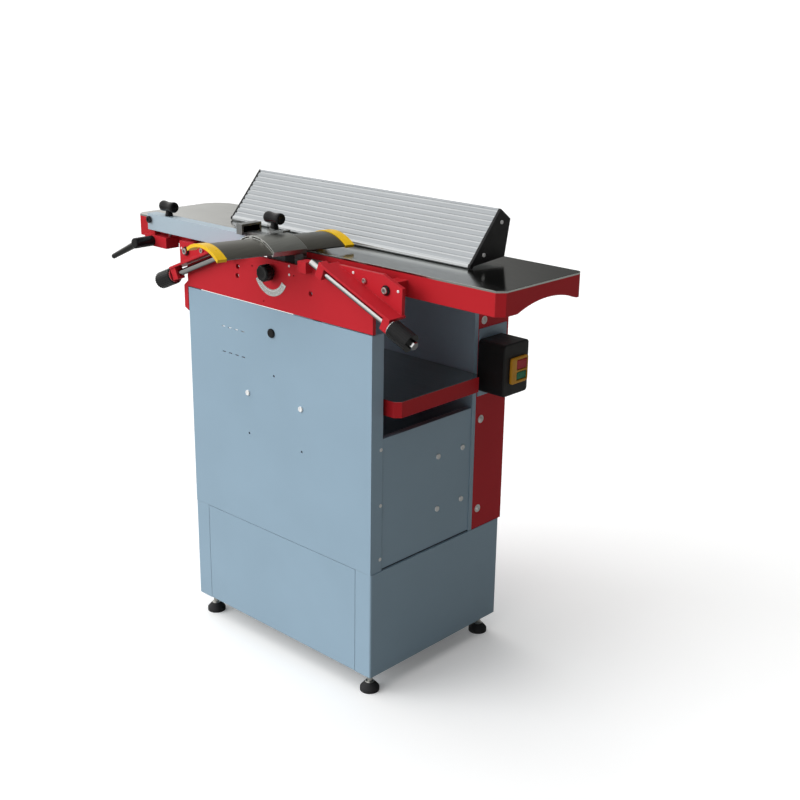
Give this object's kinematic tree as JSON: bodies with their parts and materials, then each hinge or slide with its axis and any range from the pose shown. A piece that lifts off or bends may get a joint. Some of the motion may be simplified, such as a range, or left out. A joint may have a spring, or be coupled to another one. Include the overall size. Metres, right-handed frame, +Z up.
{
  "type": "planer thicknesser",
  "caption": "Surface planer and thicknesser on a sheet-metal stand, with hinged cast tables, a tilting fence, an arched cutter guard on an arm and a rising thickness table.",
  "frame": {"origin": "on the floor, under the middle of the stand", "axes": "+Z up, +X towards the infeed end along the tables, -Y towards the operator"},
  "size_m": [1.095, 0.6003, 1.0274],
  "materials": {
    "red_paint": "satin paint",
    "grey_paint": "satin paint",
    "dark_paint": "satin paint",
    "steel": "machined",
    "chrome": "polished",
    "table_iron": "ground and polished top",
    "aluminium": "extruded, satin",
    "black_gloss": "glossy",
    "black_matt": "matt",
    "yellow_plastic": "glossy",
    "rubber": "matt",
    "red_plastic": "glossy",
    "green_plastic": "glossy"
  },
  "bodies": {
    "frame": {"stand_shell": "grey_paint", "stand_front_panel": "grey_paint", "levelling_feet": "rubber", "body_floor": "dark_paint", "front_panel": "grey_paint", "side_panels": "grey_paint", "rear_wall": "grey_paint", "upper_front_plate": "red_paint", "rear_cover": "red_paint", "panel_fasteners": "steel", "panel_plug": "black_matt", "bearing_housings": "dark_paint", "cutter_bearings": "steel", "motor": "dark_paint", "motor_bracket": "dark_paint", "drive_belt": "rubber", "feed_chain": "steel", "kickback_rod": "steel", "column_sleeve": "dark_paint", "outfeed_hinge": "red_paint", "depth_scale": "chrome", "switch_mount_plate": "grey_paint", "switch_box": "black_matt", "switch_face": "yellow_plastic"},
    "infeed_carriage": {"infeed_hinge": "red_paint"},
    "infeed": {"infeed_table": "table_iron", "infeed_bracket": "red_paint"},
    "infeed_lock": {"infeed_lock_rod": "chrome", "infeed_grip": "black_gloss"},
    "outfeed": {"outfeed_table": "table_iron", "outfeed_bracket": "red_paint", "arm_bracket": "red_paint", "fence_guide": "steel"},
    "outfeed_lock": {"outfeed_lock_rod": "chrome", "outfeed_grip": "black_gloss"},
    "fence_slide": {"fence_carriage": "steel"},
    "fence": {"fence_extrusion": "aluminium", "fence_end_caps": "black_matt"},
    "fence_clamp": {"fence_clamp_knob": "black_gloss"},
    "guard_arm": {"guard_arm": "grey_paint", "guard_clamp_block": "dark_paint", "guard_sleeve": "aluminium"},
    "guard": {"guard_profile": "aluminium", "guard_caps": "yellow_plastic"},
    "guard_clamp": {"guard_knob": "black_gloss"},
    "arm_clamp": {"arm_knob": "black_gloss"},
    "arm_lever": {"arm_lever": "black_gloss"},
    "lift_table": {"thickness_table": "table_iron"},
    "lift_screw": {"lead_screw": "steel"},
    "cutter": {"cutterblock": "steel", "cutter_knives": "steel", "cutter_pulley": "steel"},
    "motor_pulley": {"motor_pulley": "steel"},
    "infeed_roller": {"infeed_roller": "steel"},
    "outfeed_roller": {"outfeed_roller": "steel"},
    "kickback": {"kickback_fingers": "steel"},
    "depth_knob": {"depth_knob": "black_gloss"},
    "stop_button": {"stop_button": "red_plastic"},
    "start_button": {"start_button": "green_plastic"}
  },
  "joints": [
    {"name": "infeed_height", "type": "slide", "parent": "frame", "child": "infeed_carriage", "axis": [0, 0, 1], "range_m": [-0.003, 0]},
    {"name": "infeed_tilt", "type": "hinge", "parent": "infeed_carriage", "child": "infeed", "pos_m": [0, 0.15, 0.885], "axis": [-1, 0, 0], "range_deg": [0, 90]},
    {"name": "infeed_lock_turn", "type": "hinge", "parent": "infeed", "child": "infeed_lock", "pos_m": [0.2435, -0.219, 0.8696], "axis": [0.9239, 0, -0.3827], "range_deg": [0, 120]},
    {"name": "outfeed_tilt", "type": "hinge", "parent": "frame", "child": "outfeed", "pos_m": [0, 0.15, 0.885], "axis": [-1, 0, 0], "range_deg": [0, 90]},
    {"name": "outfeed_lock_turn", "type": "hinge", "parent": "outfeed", "child": "outfeed_lock", "pos_m": [-0.2135, -0.219, 0.8625], "axis": [-0.9239, 0, -0.3827], "range_deg": [0, 120]},
    {"name": "fence_slide", "type": "slide", "parent": "outfeed", "child": "fence_slide", "axis": [0, 1, 0], "range_m": [0, 0.035]},
    {"name": "fence_tilt", "type": "hinge", "parent": "fence_slide", "child": "fence", "pos_m": [-0.185, -0.04358, 0.9255], "axis": [1, 0, 0], "range_deg": [-4, 41]},
    {"name": "fence_clamp_turn", "type": "hinge", "parent": "fence_slide", "child": "fence_clamp", "pos_m": [-0.185, 0.133, 0.94], "axis": [0, 0, 1], "range_deg": [-180, 180]},
    {"name": "arm_lift", "type": "hinge", "parent": "outfeed", "child": "guard_arm", "pos_m": [-0.45, -0.17, 0.922], "axis": [0, -1, 0], "range_deg": [0, 20]},
    {"name": "guard_slide", "type": "slide", "parent": "guard_arm", "child": "guard", "axis": [0.225, 0.9744, 0], "range_m": [-0.034, 0]},
    {"name": "guard_clamp_turn", "type": "hinge", "parent": "guard_arm", "child": "guard_clamp", "pos_m": [-0.038, -0.17, 0.96], "axis": [0, 0, 1], "range_deg": [-180, 180]},
    {"name": "arm_clamp_turn", "type": "hinge", "parent": "guard_arm", "child": "arm_clamp", "pos_m": [-0.395, -0.17, 0.94], "axis": [0, 0, 1], "range_deg": [-180, 180]},
    {"name": "arm_lever_turn", "type": "hinge", "parent": "outfeed", "child": "arm_lever", "pos_m": [-0.443, -0.21, 0.874], "axis": [0, 1, 0], "range_deg": [-45, 45]},
    {"name": "lift", "type": "slide", "parent": "frame", "child": "lift_table", "axis": [0, 0, 1], "range_m": [-0.02, 0.15]},
    {"name": "lift_screw_turn", "type": "hinge", "parent": "frame", "child": "lift_screw", "pos_m": [-0.2, 0.165, 0.5], "axis": [0, 0, 1], "range_deg": [-1800, 13500]},
    {"name": "cutter_spin", "type": "hinge", "parent": "frame", "child": "cutter", "pos_m": [0, 0, 0.885], "axis": [0, 1, 0], "continuous": true},
    {"name": "motor_spin", "type": "hinge", "parent": "frame", "child": "motor_pulley", "pos_m": [0.165, 0, 0.434], "axis": [0, 1, 0], "continuous": true},
    {"name": "infeed_roller_spin", "type": "hinge", "parent": "frame", "child": "infeed_roller", "pos_m": [-0.058, 0, 0.864], "axis": [0, 1, 0], "continuous": true},
    {"name": "outfeed_roller_spin", "type": "hinge", "parent": "frame", "child": "outfeed_roller", "pos_m": [0.058, 0, 0.864], "axis": [0, 1, 0], "continuous": true},
    {"name": "kickback_swing", "type": "hinge", "parent": "frame", "child": "kickback", "pos_m": [-0.104, 0, 0.854], "axis": [0, -1, 0], "range_deg": [0, 50]},
    {"name": "depth_knob_turn", "type": "hinge", "parent": "frame", "child": "depth_knob", "pos_m": [-0.007, -0.22, 0.876], "axis": [0, 1, 0], "range_deg": [0, 120]},
    {"name": "stop_press", "type": "slide", "parent": "frame", "child": "stop_button", "axis": [-1, 0, 0], "range_m": [0, 0.004], "stiffness_N_per_m": 1500, "springref_m": -0.001},
    {"name": "start_press", "type": "slide", "parent": "frame", "child": "start_button", "axis": [-1, 0, 0], "range_m": [0, 0.004], "stiffness_N_per_m": 1500, "springref_m": -0.001}
  ],
  "couplings": [
    {"joint": "infeed_tilt", "follows": "outfeed_tilt", "ratio": 1},
    {"joint": "motor_spin", "follows": "cutter_spin", "ratio": 0.6},
    {"joint": "outfeed_roller_spin", "follows": "infeed_roller_spin", "ratio": 1},
    {"joint": "lift_screw_turn", "follows": "lift", "rad_per_m": 1570.8},
    {"joint": "depth_knob_turn", "follows": "infeed_height", "rad_per_m": -698.13}
  ]
}
